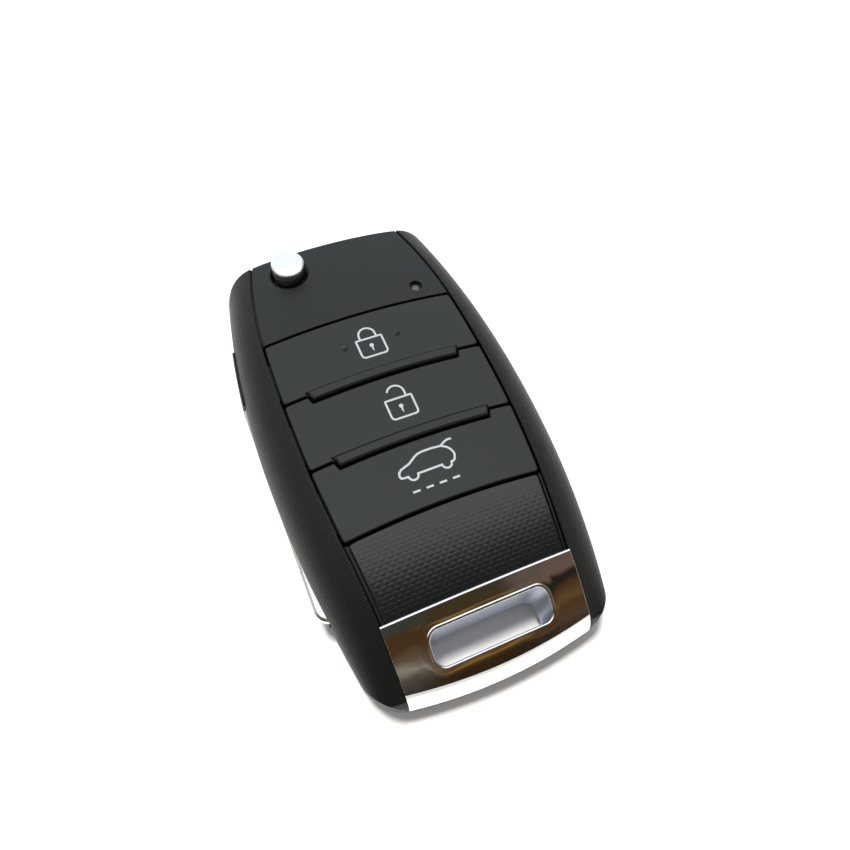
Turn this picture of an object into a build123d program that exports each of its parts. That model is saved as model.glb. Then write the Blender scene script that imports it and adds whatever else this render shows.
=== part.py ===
from build123d import *
import os
from math import cos, pi

# Folding car key remote: a crowned case in two halves with three push buttons,
# a bright key-ring loop at the tail and a blade that turns out on a sprung hub.
# Frame: the origin is on the rear rest face under the middle of the case.
# +Y runs toward the release button end, +X to the right of the buttons and
# +Z out of the front. All sizes are in millimetres.

os.makedirs("parts", exist_ok=True)

# Case
body_width = 47.0
body_height = 16.2
wall = 1.5
front_crown = 0.8
rear_crown = 0.5
rear_base_width = 27.0
shoulder_slope = 0.35
foot_slope = 0.2
shoulder_taper = 4.9
tail_taper = 4.4
top_fall = 2.0
tail_end_height = 7.0
top_lift = 2.5
tail_lift = 3.5
rest_flat_depth = 0.3
widest_share = 0.45
top_bow = 1.9
tail_bow = 2.2
top_corner_radius = 5.0
tail_corner_radius = 8.0
widest_from_middle = 2.0
crown_from_middle = -4.0
parting_height = 7.0
parting_tail_drop = 2.7
top_edge = 1.1
top_edge_slope = 0.3
top_edge_lift = 0.12
form_sections = 11

# Front panel, from the top end down
panel_width = 35.2
panel_top_taper = 3.9
panel_tail_taper = 2.6
panel_widest_from_middle = 4.0
crease_margin = 0.3
top_panel_length = 18.5
lock_length = 12.0
unlock_length = 12.3
tailgate_length = 12.2
lower_panel_length = 12.6
seam_bow = 0.6
seam_gap = 0.45
tail_seam_gap = 0.5
side_gap = 0.4
crease_width = 0.4
crease_depth = 0.5

# Buttons
button_wall = 1.2
button_corner = 0.5
button_edge = 0.15
key_travel = 0.5
flange_reach = 1.0
flange_thickness = 0.8
flange_play = 0.05
rim_height = 12.85
key_floor_height = 11.2
button_ceiling = 13.7
stem_radius = 2.2
stem_relief = 0.1
lip_length = 26.2
lip_above_seam = 0.5
lip_below_seam = 1.1
lip_end_taper = 0.6
lip_rise = 0.6
lip_groove = 0.25
lip_edge = 0.25
feel_dot_radius = 0.36
feel_dot_height = 0.16
feel_dot_from_middle = 4.65
feel_dot_from_seam = 5.4

# Lower panel
seat_depth = 1.2
panel_edge_gap = 0.85
rib_inner_gap = 0.28
rib_width = 0.32
rib_below_surface = 0.12

# Key-ring loop
loop_length = 13.0
loop_overlap = 0.1
loop_proud = 0.35
loop_clearance = 0.1
loop_edge = 0.3
slot_length = 19.2
slot_width = 4.9
slot_corner = 1.6
slot_from_tail = 7.1
loop_peg_radius = 1.2
loop_peg_length = 3.0
loop_peg_from_sleeve = 2.3
rim_width = 0.7
rim_rise = 0.65
rim_edge = 0.28
sleeve_wall = 1.0
nose_length = 1.9
nose_height = 4.4
nose_bulge = 0.35

# Flip hub and release button
pivot_from_side = 15.4
pivot_from_top = 4.8
hub_radius = 4.1
hub_clearance = 0.4
hub_base = 4.4
hub_height = 7.2
hub_play = 0.1
hub_top_play = 0.3
journal_radius = 3.3
arm_base = 4.6
arm_thickness = 4.8
arm_play = 0.3
arm_above_pivot = 3.6
arm_below_pivot = 6.4
neck_start_from_pivot = 9.4
neck_end_from_pivot = 20.3
neck_edge = 0.5
channel_wall = 1.2
swing_radius = 13.5
hub_web = 3.0
spring_bore_radius = 3.5
release_radius = 2.8
release_proud = 2.55
release_dome = 0.4
release_skirt = 2.8
release_shank_radius = 1.9
release_collar_radius = 2.35
release_collar = 0.9
running_fit = 0.08
release_hole_clearance = 0.3
release_sink = 0.5
spring_wire = 0.7
spring_radius = 2.95
spring_turns = 4
arbor_radius = 2.1
arbor_height = 0.9

# Blade
blade_reach = 58.7
blade_width = 8.3
blade_thickness = 2.2
blade_from_side = 0.2
blade_play = 0.4
blade_tip_radius = 2.4
blade_groove_width = 2.6
blade_groove_depth = 0.55
blade_bevel = 0.4
tang_width = 4.6
tang_length = 10.5
tang_play = 0.03
pin_radius = 0.8
pin_from_neck_end = 8.0

# Electronics
board_thickness = 1.0
board_base = 6.4
board_from_side = 6.3
board_corner = 1.0
hole_play = 0.1
board_gap = 0.6
post_radius = 1.7
spigot_radius = 0.8
spigot_height = 0.8
post_from_side = 1.9
post_from_end = 3.0
switch_size = 4.5
switch_body = 1.2
switch_height = 1.7
plunger_radius = 1.2
membrane_width = 24.4
membrane_sheet = 0.8
membrane_corner = 1.0
membrane_play = 0.2
pad_height = 0.5
pad_width = 8.0
pad_length = 5.0
cell_radius = 10.0
cell_thickness = 3.2
cell_x = 2.2
cell_y = -2.0
cell_seat = 1.6
cell_well_wall = 1.1
cell_well_height = 3.0
cell_play = 0.15
cell_step = 0.6
cell_step_height = 0.5
contact_thickness = 0.3
contact_width = 4.0
contact_foot = 3.0
contact_reach = 2.5
led_from_side = 11.5
led_from_top = 15.2
lens_radius = 0.65
lens_recess_radius = 1.15
lens_recess_depth = 0.8
lens_play = 0.02
lens_collar_radius = 1.5
lens_collar = 0.7
led_length = 1.6
led_width = 0.9
led_height = 0.9
chip_size = 6.5
chip_thickness = 1.0
chip_x = 7.0
crystal_x = -4.0
parts_from_end = 4.3
crystal_length = 3.2
crystal_width = 2.5
crystal_height = 0.8
transponder_length = 12.0
transponder_width = 6.0
transponder_thickness = 3.0
transponder_x = 3.5
transponder_y = 18.6
transponder_seat = 2.0

# Places worked out from the sizes above
keys_length = lock_length + unlock_length + tailgate_length
body_length = top_panel_length + keys_length + lower_panel_length + loop_length
half_length = body_length / 2
tail_fall = body_height - tail_end_height
top_y = half_length
tail_y = -half_length
top_seam_y = top_y - top_panel_length
lock_seam_y = top_seam_y - lock_length
unlock_seam_y = lock_seam_y - unlock_length
tail_seam_y = unlock_seam_y - tailgate_length
loop_top_y = tail_y + loop_length
pivot_y = top_y - pivot_from_top
neck_end_y = pivot_y - neck_end_from_pivot
blade_tip_y = pivot_y - blade_reach
pivot_x = pivot_from_side - body_width / 2
blade_outer_x = blade_from_side - body_width / 2
neck_inner_x = blade_outer_x + blade_width
channel_inner_x = neck_inner_x + blade_play
board_right_x = body_width / 2 - board_from_side
led_x = body_width / 2 - led_from_side
slot_y = tail_y + slot_from_tail
arm_top = arm_base + arm_thickness
blade_middle = arm_base + arm_thickness / 2
blade_centre_x = blade_outer_x + blade_width / 2
channel_top = arm_top + arm_play
board_top = board_base + board_thickness
board_left_x = channel_inner_x + channel_wall + board_gap
room_left_x = channel_inner_x + channel_wall
room_top_y = pivot_y - arm_below_pivot - hub_clearance - wall / 2
room_tail_y = loop_top_y + wall
leg_x = cell_x + cell_radius + cell_play + cell_well_wall
room_middle_y = (room_tail_y + room_top_y) / 2
board_tail_y = room_tail_y + board_gap
board_top_y = room_top_y - board_gap
button_foot = rim_height - flange_play - flange_thickness
membrane_top = board_top + switch_height + membrane_play + membrane_sheet
stem_foot = membrane_top + pad_height + key_travel + stem_relief
pocket_base = rim_height - 2 * seat_depth
led_y = top_y - led_from_top
loop_peg_foot = parting_height - loop_peg_length
loop_peg_x = slot_length / 2 + sleeve_wall + loop_peg_from_sleeve
loop_peg_places = [(side * loop_peg_x, slot_y) for side in (-1, 1)]
post_columns = (board_left_x + post_from_side, board_right_x - post_from_side)
post_rows = (board_tail_y + post_from_end, board_top_y - post_from_end)
post_places = [(x, y) for x in post_columns for y in post_rows]
far = body_length


def half_width_at(y):
    """Half of the case's width at its widest line, at a place along the case."""
    if y > widest_from_middle:
        share = (y - widest_from_middle) / (half_length - widest_from_middle)
        return body_width / 2 - shoulder_taper * share**2
    share = (widest_from_middle - y) / (half_length + widest_from_middle)
    return body_width / 2 - tail_taper * share**2


def panel_half_at(y):
    """Half of the front panel's width, between the two grips."""
    if y > panel_widest_from_middle:
        share = (y - panel_widest_from_middle) / (half_length - panel_widest_from_middle)
        return panel_width / 2 - panel_top_taper * share**3
    share = (panel_widest_from_middle - y) / (half_length + panel_widest_from_middle)
    return panel_width / 2 - panel_tail_taper * (1 - cos(pi * share)) / 2


def front_at(y):
    """Height of the front surface along the middle: gentle to the top, steep to the tail."""
    if y > crown_from_middle:
        share = (y - crown_from_middle) / (half_length - crown_from_middle)
        return body_height - top_fall * share**2
    share = (crown_from_middle - y) / (half_length + crown_from_middle)
    return body_height - tail_fall * share**2.6


def rear_at(y):
    """Height of the rear surface, a little below the rest face in the middle."""
    if y > widest_from_middle:
        share = (y - widest_from_middle) / (half_length - widest_from_middle)
        return top_lift * share**2.4 - rest_flat_depth
    share = (widest_from_middle - y) / (half_length + widest_from_middle)
    return tail_lift * share**2.4 - rest_flat_depth


def front_surface_at(x, y):
    """Height of the crowned front panel at any place on it."""
    return front_at(y) - front_crown * (x / panel_half_at(y)) ** 2


def crowned_body(inset, start_y=tail_y - wall):
    """The case's rounded form, with every wall moved in by inset, running past the top end."""
    length = top_y + wall - start_y
    with BuildPart() as body:
        for i in range(form_sections):
            y = start_y + length * i / (form_sections - 1)
            half = half_width_at(y) - inset
            panel = panel_half_at(y) + crease_margin
            front = front_at(y) - inset
            edge = front - front_crown
            rear = rear_at(y) + inset
            foot = rear + rear_crown
            base = rear_base_width * half / body_width
            widest = rear_at(y) + widest_share * (front_at(y) - rear_at(y))
            with BuildSketch(Plane.XZ.offset(-y)):
                with BuildLine():
                    ThreePointArc((-panel, edge), (0, front), (panel, edge))
                    Spline((panel, edge), (half, widest), tangents=[(1, -shoulder_slope), (0, -1)])
                    Spline((half, widest), (base, foot), tangents=[(0, -1), (-1, -foot_slope)])
                    ThreePointArc((base, foot), (0, rear), (-base, foot))
                    Spline((-base, foot), (-half, widest), tangents=[(-1, foot_slope), (0, 1)])
                    Spline((-half, widest), (-panel, edge), tangents=[(0, 1), (1, shoulder_slope)])
                make_face()
        loft()
    return body.part


def case_outline():
    """Plan of the case: bowed ends, rounded corners and sides just clear of the widest line."""
    clear = 0.02
    top_side_y = top_y - top_bow
    tail_side_y = tail_y + tail_bow
    top_half = half_width_at(top_side_y) + clear
    tail_half = half_width_at(tail_side_y) + clear
    places = (0.7 * top_y, 0.35 * top_y, 0, 0.3 * tail_y, 0.65 * tail_y)
    side = [(half_width_at(y) + clear, y) for y in places]
    other = [(-x, y) for x, y in reversed(side)]
    with BuildSketch() as plan:
        with BuildLine():
            ThreePointArc((-top_half, top_side_y), (0, top_y), (top_half, top_side_y))
            Spline((top_half, top_side_y), *side, (tail_half, tail_side_y))
            ThreePointArc((tail_half, tail_side_y), (0, tail_y), (-tail_half, tail_side_y))
            Spline((-tail_half, tail_side_y), *other, (-top_half, top_side_y))
        make_face()
        fillet(plan.vertices().group_by(Axis.Y)[-1], top_corner_radius)
        fillet(plan.vertices().group_by(Axis.Y)[0], tail_corner_radius)
    return plan.sketch


def panel_plan(low_y, high_y, gap, low_bow=seam_bow, high_bow=seam_bow, corner=0.0):
    """Plan of a piece of the front panel between two seams, its sides gap inside the panel."""
    middle_y = (low_y + high_y) / 2
    low_half = panel_half_at(low_y) - gap
    middle_half = panel_half_at(middle_y) - gap
    high_half = panel_half_at(high_y) - gap
    with BuildSketch() as plan:
        with BuildLine():
            if high_bow:
                ThreePointArc((-high_half, high_y), (0, high_y + high_bow), (high_half, high_y))
            else:
                Line((-high_half, high_y), (high_half, high_y))
            Spline((high_half, high_y), (middle_half, middle_y), (low_half, low_y))
            if low_bow:
                ThreePointArc((low_half, low_y), (0, low_y + low_bow), (-low_half, low_y))
            else:
                Line((low_half, low_y), (-low_half, low_y))
            Spline((-low_half, low_y), (-middle_half, middle_y), (-high_half, high_y))
        make_face()
        if corner:
            fillet(plan.vertices(), corner)
    return plan.sketch


def side_strips(low_y, high_y, gap, width):
    """Plan of two thin strips that follow the sides of the panel, gap inside its edge."""
    middle_y = (low_y + high_y) / 2
    outer_edge = [(panel_half_at(y) - gap, y) for y in (low_y, middle_y, high_y)]
    inner_edge = [(x - width, y) for x, y in reversed(outer_edge)]
    with BuildSketch() as plan:
        with BuildLine():
            Spline(*outer_edge)
            Line(outer_edge[-1], inner_edge[0])
            Spline(*inner_edge)
            Line(inner_edge[-1], outer_edge[0])
        make_face()
        mirror(about=Plane.YZ)
    return plan.sketch


def lip_plan(seam_y, grow=0.0):
    """Plan of the finger lip that crosses a seam, its ends drawn in toward the tail."""
    half = lip_length / 2
    sag = seam_bow * (half / panel_half_at(seam_y)) ** 2
    ends_y = seam_y + seam_bow - sag
    high_y = ends_y + lip_above_seam
    low_y = ends_y - lip_below_seam
    low_half = half - lip_end_taper
    with BuildSketch() as plan:
        with BuildLine():
            ThreePointArc((-half, high_y), (0, high_y + sag), (half, high_y))
            Line((half, high_y), (low_half, low_y))
            ThreePointArc((low_half, low_y), (0, low_y + sag), (-low_half, low_y))
            Line((-low_half, low_y), (-half, high_y))
        make_face()
        if grow:
            offset(amount=grow, kind=Kind.INTERSECTION)
    return plan.sketch


def slot_plan(grow=0.0):
    """Plan of the key-ring slot, or of the ring around it."""
    with BuildSketch() as plan:
        with Locations((0, slot_y)):
            RectangleRounded(slot_length + 2 * grow, slot_width + 2 * grow, slot_corner + grow)
    return plan.sketch


def loop_plan(gap=0.0):
    """Plan of the key-ring loop, open past the tail."""
    high_y = loop_top_y + gap
    low_y = tail_y - wall
    high_half = panel_half_at(loop_top_y) + loop_overlap + gap
    low_half = panel_half_at(low_y) + loop_overlap + gap
    with BuildSketch() as plan:
        with BuildLine():
            Polyline(
                (-high_half, high_y),
                (high_half, high_y),
                (low_half, low_y),
                (-low_half, low_y),
                close=True,
            )
        make_face()
    return plan.sketch


# Forms that several pieces share
outer_form = crowned_body(0)
inner_form = crowned_body(wall, loop_top_y)
crease_form = crowned_body(crease_depth)
seat_form = crowned_body(seat_depth, loop_top_y - wall)
rib_form = crowned_body(rib_below_surface)
proud_form = crowned_body(-loop_proud)
rim_form = crowned_body(-rim_rise)
lip_form = crowned_body(-lip_rise)
outline = case_outline()

lens_top = front_surface_at(led_x, led_y) - lens_recess_depth

# The whole closed case, which the two shells and the flip head are cut from
with BuildPart() as case_form:
    add(outer_form)
    with BuildSketch():
        add(outline)
    extrude(amount=far, mode=Mode.INTERSECT)

# Everything in front of the parting line, which dips toward the tail
with BuildPart() as front_side:
    with BuildSketch(Plane.YZ.offset(-far / 2)):
        with BuildLine():
            bend_y = tail_y / 2
            Line((top_y + wall, parting_height), (bend_y, parting_height))
            ends_at = (tail_y - wall, parting_height - parting_tail_drop)
            TangentArc((bend_y, parting_height), ends_at, tangent=(-1, 0))
            Polyline(ends_at, (tail_y - wall, far), (top_y + wall, far), (top_y + wall, parting_height))
        make_face()
    extrude(amount=far)

# The bevel that rounds the tail, turned about the centre of the bowed end
with BuildPart() as tail_nose:
    tail_half = half_width_at(tail_y + tail_bow)
    bow_radius = (tail_half**2 + tail_bow**2) / (2 * tail_bow)
    with BuildSketch(Plane.YZ):
        with BuildLine():
            high = (tail_y + nose_length, front_at(tail_y + nose_length) + loop_proud)
            low = (tail_y, nose_height)
            middle = (
                (high[0] + low[0]) / 2 - nose_bulge,
                (high[1] + low[1]) / 2 + nose_bulge,
            )
            ThreePointArc(high, middle, low)
            beyond_y = tail_y - 2 * wall
            Polyline(low, (beyond_y, nose_height), (beyond_y, far / 2), (high[0], far / 2), high)
        make_face()
    revolve(axis=Axis((0, tail_y + bow_radius, 0), (0, 0, 1)))

# The rounding of the front's top edge, turned about the centre of its bow and begun in the
# air just above the surface, so that it crosses it at a clear angle
with BuildPart() as top_nose:
    top_half = half_width_at(top_y - top_bow)
    top_bow_radius = (top_half**2 + top_bow**2) / (2 * top_bow)
    with BuildSketch(Plane.YZ):
        with BuildLine():
            high = (top_y - top_edge, front_at(top_y - top_edge) + top_edge_lift)
            low = (top_y, front_at(top_y) - top_edge)
            TangentArc(high, low, tangent=(1, -top_edge_slope))
            Polyline(low, (top_y + wall, low[1]), (top_y + wall, far / 2), (high[0], far / 2), high)
        make_face()
    revolve(axis=Axis((0, top_y - top_bow_radius, 0), (0, 0, 1)))

# The room for the electronics, to the right of the blade channel
with BuildPart() as room:
    with BuildSketch():
        with Locations((room_left_x, room_tail_y)):
            Rectangle(far, top_seam_y + wall - room_tail_y, align=(Align.MIN, Align.MIN))
    extrude(amount=rim_height)
    with BuildSketch():
        with Locations((room_left_x, top_seam_y)):
            Rectangle(far, room_top_y - top_seam_y, align=(Align.MIN, Align.MIN))
        with Locations((pivot_x + swing_radius + wall, top_seam_y)):
            Rectangle(far, top_y - wall - top_bow - top_seam_y, align=(Align.MIN, Align.MIN))
    extrude(amount=far)
    with BuildSketch(Plane.XY.offset(pocket_base)):
        with Locations((room_left_x, room_tail_y)):
            Rectangle(far, tail_seam_y - wall - room_tail_y, align=(Align.MIN, Align.MIN))
    extrude(amount=far, mode=Mode.SUBTRACT)
    add(inner_form, mode=Mode.INTERSECT)

# The pocket that the flip head turns in and the channel that the blade lies in
with BuildPart() as flip_pocket:
    pocket_floor = hub_base - hub_play
    with BuildSketch(Plane.XY.offset(pocket_floor)):
        with Locations((pivot_x, pivot_y)):
            Circle(journal_radius + running_fit)
    extrude(amount=hub_height + hub_play + hub_top_play)
    with BuildSketch(Plane.XY.offset(pocket_floor)):
        with Locations((pivot_x, pivot_y)):
            Circle(swing_radius)
        with Locations((pivot_x, pivot_y - arm_above_pivot - 2 * arm_play)):
            Rectangle(2 * far, far, align=(Align.CENTER, Align.MAX), mode=Mode.SUBTRACT)
        with Locations((pivot_x, pivot_y)):
            Circle(hub_radius + hub_clearance)
            Rectangle(far, arm_below_pivot + hub_clearance, align=(Align.MAX, Align.MAX))
            Rectangle(far, far, align=(Align.MAX, Align.MIN))
        with Locations((channel_inner_x, pivot_y)):
            Rectangle(far, neck_end_from_pivot + hub_clearance, align=Align.MAX)
    extrude(amount=channel_top - pocket_floor)
    with BuildSketch(Plane.XY.offset(blade_middle - blade_thickness / 2 - blade_play)):
        with Locations((channel_inner_x, pivot_y)):
            Rectangle(far, blade_reach + 2 * blade_play, align=Align.MAX)
    extrude(amount=blade_thickness + 2 * blade_play)

# The pocket that takes the lower panel, and the thin rib that stands down each side of it
with BuildPart() as panel_ribs:
    add(rib_form)
    with BuildSketch(Plane.XY.offset(pocket_base)):
        add(side_strips(loop_top_y + loop_clearance, tail_seam_y - tail_seam_gap, rib_inner_gap, rib_width))
    extrude(amount=far, mode=Mode.INTERSECT)
with BuildPart() as panel_pocket:
    with BuildSketch(Plane.XY.offset(pocket_base)):
        add(panel_plan(loop_top_y - loop_clearance, tail_seam_y, 0, 0))
    extrude(amount=far)
    add(seat_form, mode=Mode.SUBTRACT)
    add(panel_ribs.part, mode=Mode.SUBTRACT)

# The fine line that parts the top panel from the grips
with BuildPart() as crease_cut:
    with BuildSketch(Plane.XY.offset(rim_height)):
        add(side_strips(top_seam_y, top_y + wall, 0, crease_width))
    extrude(amount=far)
    add(crease_form, mode=Mode.SUBTRACT)

# Front shell: top panel and both grips in one moulding, open at the buttons and the tail
with BuildPart() as front_shell:
    add(case_form.part)
    add(front_side.part, mode=Mode.INTERSECT)
    add(room.part, mode=Mode.SUBTRACT)
    add(flip_pocket.part, mode=Mode.SUBTRACT)
    with BuildSketch(Plane.XY.offset(key_floor_height)):
        add(panel_plan(tail_seam_y - seam_gap, top_seam_y + seam_gap / 2, 0))
    extrude(amount=far, mode=Mode.SUBTRACT)
    with BuildSketch(Plane.XY.offset(key_floor_height)):
        add(panel_plan(tail_seam_y, top_seam_y, -flange_reach - side_gap, 0, 0))
    extrude(amount=rim_height - key_floor_height, mode=Mode.SUBTRACT)
    with BuildSketch():
        add(loop_plan(loop_clearance))
    extrude(amount=far, mode=Mode.SUBTRACT)
    add(tail_nose.part, mode=Mode.SUBTRACT)
    add(top_nose.part, mode=Mode.SUBTRACT)
    with Locations((pivot_x, pivot_y, front_surface_at(pivot_x, pivot_y))):
        CounterSinkHole(
            release_radius + release_hole_clearance,
            release_radius + release_hole_clearance + release_sink,
            depth=wall + hub_height,
        )
    with BuildSketch(Plane.XY.offset(rim_height - wall)):
        with Locations((led_x, led_y)):
            Circle(lens_radius + lens_play)
    extrude(amount=far, mode=Mode.SUBTRACT)
    with BuildSketch(Plane.XY.offset(lens_top)):
        with Locations((led_x, led_y)):
            Circle(lens_recess_radius)
    extrude(amount=far, mode=Mode.SUBTRACT)
    add(panel_pocket.part, mode=Mode.SUBTRACT)
    add(crease_cut.part, mode=Mode.SUBTRACT)
front_shell.part.label = "front_shell"
export_step(front_shell.part, "parts/front_shell.step")

# Lower panel: a thin textured cover, laid in its own pocket below the buttons
with BuildPart() as lower_panel:
    add(outer_form)
    with BuildSketch(Plane.XY.offset(pocket_base)):
        add(panel_plan(loop_top_y, tail_seam_y - tail_seam_gap, panel_edge_gap, 0, seam_bow, button_corner))
    extrude(amount=far, mode=Mode.INTERSECT)
    add(seat_form, mode=Mode.SUBTRACT)
    chamfer(lower_panel.faces().sort_by(Axis.Z)[-1].edges().sort_by(Axis.Y)[-1], button_edge)
lower_panel.part.label = "lower_panel"
export_step(lower_panel.part, "parts/lower_panel.step")

# What stands on the rear shell's floor: board posts, the cell's well and the transponder's frame
with BuildPart() as rear_bosses:
    with BuildSketch(Plane.XY.offset(crease_depth)):
        with Locations(*post_places):
            Circle(post_radius)
    extrude(amount=board_base - crease_depth)
    with BuildSketch(Plane.XY.offset(board_base)):
        with Locations(*post_places):
            Circle(spigot_radius)
    extrude(amount=board_thickness + spigot_height)
    with BuildSketch(Plane.XY.offset(crease_depth)):
        with Locations((cell_x, cell_y)):
            Circle(cell_radius + cell_play + cell_well_wall)
    extrude(amount=cell_seat + cell_well_height - crease_depth)
    with BuildSketch(Plane.XY.offset(crease_depth)):
        with Locations((transponder_x, transponder_y)):
            RectangleRounded(
                transponder_length + 2 * (cell_play + cell_well_wall),
                transponder_width + 2 * (cell_play + cell_well_wall),
                board_corner,
            )
    extrude(amount=transponder_seat + transponder_thickness / 2 - crease_depth)
    add(crease_form, mode=Mode.INTERSECT)

# Rear shell: the floor and back of the case, with seats for everything inside
with BuildPart() as rear_shell:
    add(case_form.part)
    add(front_side.part, mode=Mode.SUBTRACT)
    add(room.part, mode=Mode.SUBTRACT)
    add(flip_pocket.part, mode=Mode.SUBTRACT)
    add(rear_bosses.part)
    with BuildSketch(Plane.XY.offset(cell_seat)):
        with Locations((cell_x, cell_y)):
            Circle(cell_radius + cell_play)
            Rectangle(leg_x - cell_x, contact_width + 2 * cell_play, align=(Align.MIN, Align.CENTER))
    extrude(amount=board_base - cell_seat, mode=Mode.SUBTRACT)
    with BuildSketch(Plane.XY.offset(transponder_seat)):
        with Locations((transponder_x, transponder_y)):
            Rectangle(transponder_length + 2 * cell_play, transponder_width + 2 * cell_play)
    extrude(amount=transponder_thickness, mode=Mode.SUBTRACT)
    with BuildSketch(Plane.XY.offset(hub_base - hub_play)):
        with Locations((pivot_x, pivot_y)):
            Circle(arbor_radius)
    extrude(amount=arbor_height)
    with BuildSketch():
        add(slot_plan(sleeve_wall + loop_clearance))
    extrude(amount=far, mode=Mode.SUBTRACT)
    with BuildSketch(Plane.XY.offset(loop_peg_foot - loop_clearance)):
        with Locations(*loop_peg_places):
            Circle(loop_peg_radius + loop_clearance)
    extrude(amount=far, mode=Mode.SUBTRACT)
rear_shell.part.label = "rear_shell"
export_step(rear_shell.part, "parts/rear_shell.step")

# Key-ring loop: a plated casting with a raised rim round its slot and a sleeve through the case
with BuildPart() as loop_rim:
    add(rim_form)
    with BuildSketch(Plane.XY.offset(parting_height)):
        add(slot_plan(rim_width))
    extrude(amount=far, mode=Mode.INTERSECT)
    fillet(loop_rim.faces().sort_by(Axis.Z)[-1].edges(), rim_edge)
with BuildPart() as loop_sleeve:
    add(outer_form)
    with BuildSketch():
        add(slot_plan(sleeve_wall))
    extrude(amount=parting_height, mode=Mode.INTERSECT)
with BuildPart() as keyring_loop:
    add(proud_form)
    with BuildSketch():
        add(outline)
    extrude(amount=far, mode=Mode.INTERSECT)
    with BuildSketch():
        add(loop_plan())
    extrude(amount=far, mode=Mode.INTERSECT)
    add(front_side.part, mode=Mode.INTERSECT)
    add(tail_nose.part, mode=Mode.SUBTRACT)
    fillet(keyring_loop.faces().sort_by(Axis.Z)[-1].edges().sort_by(Axis.Y)[-1], loop_edge)
    add(loop_rim.part)
    add(loop_sleeve.part)
    with BuildSketch(Plane.XY.offset(loop_peg_foot)):
        with Locations(*loop_peg_places):
            Circle(loop_peg_radius)
    extrude(amount=parting_height - loop_peg_foot)
    with BuildSketch():
        add(slot_plan())
    extrude(amount=far, mode=Mode.SUBTRACT)
    rim_top = keyring_loop.faces().filter_by(lambda face: face.inner_wires()).sort_by(Axis.Z)[-1]
    fillet(rim_top.inner_wires()[0].edges(), rim_edge)
keyring_loop.part.label = "keyring_loop"
export_step(keyring_loop.part, "parts/keyring_loop.step")


def push_button(low_y, high_y, low_gap, lipped, notched):
    """One push button: crowned top, side flanges, hollow underside and a stem over its switch."""
    foot = Plane.XY.offset(button_foot)
    low_edge = low_y + low_gap
    high_edge = high_y - seam_gap / 2
    with BuildPart() as ridge:
        add(lip_form)
        with BuildSketch(foot):
            add(lip_plan(low_y))
        extrude(amount=far, mode=Mode.INTERSECT)
        chamfer(ridge.faces().sort_by(Axis.Z)[-1].edges(), lip_edge)
    with BuildPart() as groove:
        with BuildSketch(foot):
            add(lip_plan(low_y, lip_groove))
        extrude(amount=far)
        add(crease_form, mode=Mode.SUBTRACT)
    with BuildPart() as button:
        add(outer_form)
        with BuildSketch(foot):
            add(panel_plan(low_edge, high_edge, side_gap, corner=button_corner))
            if notched:
                add(lip_plan(high_y, seam_gap), mode=Mode.SUBTRACT)
        extrude(amount=far, mode=Mode.INTERSECT)
        chamfer(button.faces().sort_by(Axis.Z)[-1].edges(), button_edge)
        if lipped:
            add(groove.part, mode=Mode.SUBTRACT)
            add(ridge.part)
        with BuildSketch(foot):
            add(panel_plan(low_edge + 2 * button_wall, high_edge - 2 * button_wall, -flange_reach, 0, 0))
        extrude(amount=flange_thickness)
        with BuildSketch(foot):
            add(panel_plan(low_edge + button_wall, high_edge - button_wall, side_gap + button_wall))
            if notched:
                add(lip_plan(high_y, seam_gap + button_wall), mode=Mode.SUBTRACT)
        extrude(amount=button_ceiling - button_foot, mode=Mode.SUBTRACT)
        with BuildSketch(Plane.XY.offset(stem_foot)):
            with Locations((0, (low_y + high_y) / 2)):
                Circle(stem_radius)
        extrude(amount=button_ceiling - stem_foot)
    return button.part


# Lock button: its lip reaches over the seam below it, and a small feel dot stands on each side
with BuildPart() as lock_button:
    add(push_button(lock_seam_y, top_seam_y, seam_gap / 2, lipped=True, notched=False))
    feel_dot_y = top_seam_y - feel_dot_from_seam
    feel_ball = (feel_dot_radius**2 + feel_dot_height**2) / (2 * feel_dot_height)
    feel_dot_z = front_surface_at(feel_dot_from_middle, feel_dot_y) + feel_dot_height - feel_ball
    with Locations(*[(side * feel_dot_from_middle, feel_dot_y, feel_dot_z) for side in (-1, 1)]):
        Sphere(feel_ball)
lock_button.part.label = "lock_button"
export_step(lock_button.part, "parts/lock_button.step")

# Unlock button: notched for the lip above and lipped below
with BuildPart() as unlock_button:
    add(push_button(unlock_seam_y, lock_seam_y, seam_gap / 2, lipped=True, notched=True))
unlock_button.part.label = "unlock_button"
export_step(unlock_button.part, "parts/unlock_button.step")

# Tailgate button: notched for the lip above, flat at the seam with the lower panel
with BuildPart() as tailgate_button:
    add(push_button(tail_seam_y, unlock_seam_y, 0, lipped=False, notched=True))
tailgate_button.part.label = "tailgate_button"
export_step(tailgate_button.part, "parts/tailgate_button.step")


def tact_switch(y):
    """A small switch on the board, its plunger under the button whose middle is at y."""
    with BuildPart() as switch:
        with Locations((0, y, board_top)):
            Box(switch_size, switch_size, switch_body, align=(Align.CENTER, Align.CENTER, Align.MIN))
            Cylinder(plunger_radius, switch_height, align=(Align.CENTER, Align.CENTER, Align.MIN))
    return switch.part


# The three switches under the buttons
with BuildPart() as lock_switch:
    add(tact_switch((lock_seam_y + top_seam_y) / 2))
lock_switch.part.label = "lock_switch"
export_step(lock_switch.part, "parts/lock_switch.step")

with BuildPart() as unlock_switch:
    add(tact_switch((unlock_seam_y + lock_seam_y) / 2))
unlock_switch.part.label = "unlock_switch"
export_step(unlock_switch.part, "parts/unlock_switch.step")

with BuildPart() as tailgate_switch:
    add(tact_switch((tail_seam_y + unlock_seam_y) / 2))
tailgate_switch.part.label = "tailgate_switch"
export_step(tailgate_switch.part, "parts/tailgate_switch.step")

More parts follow.
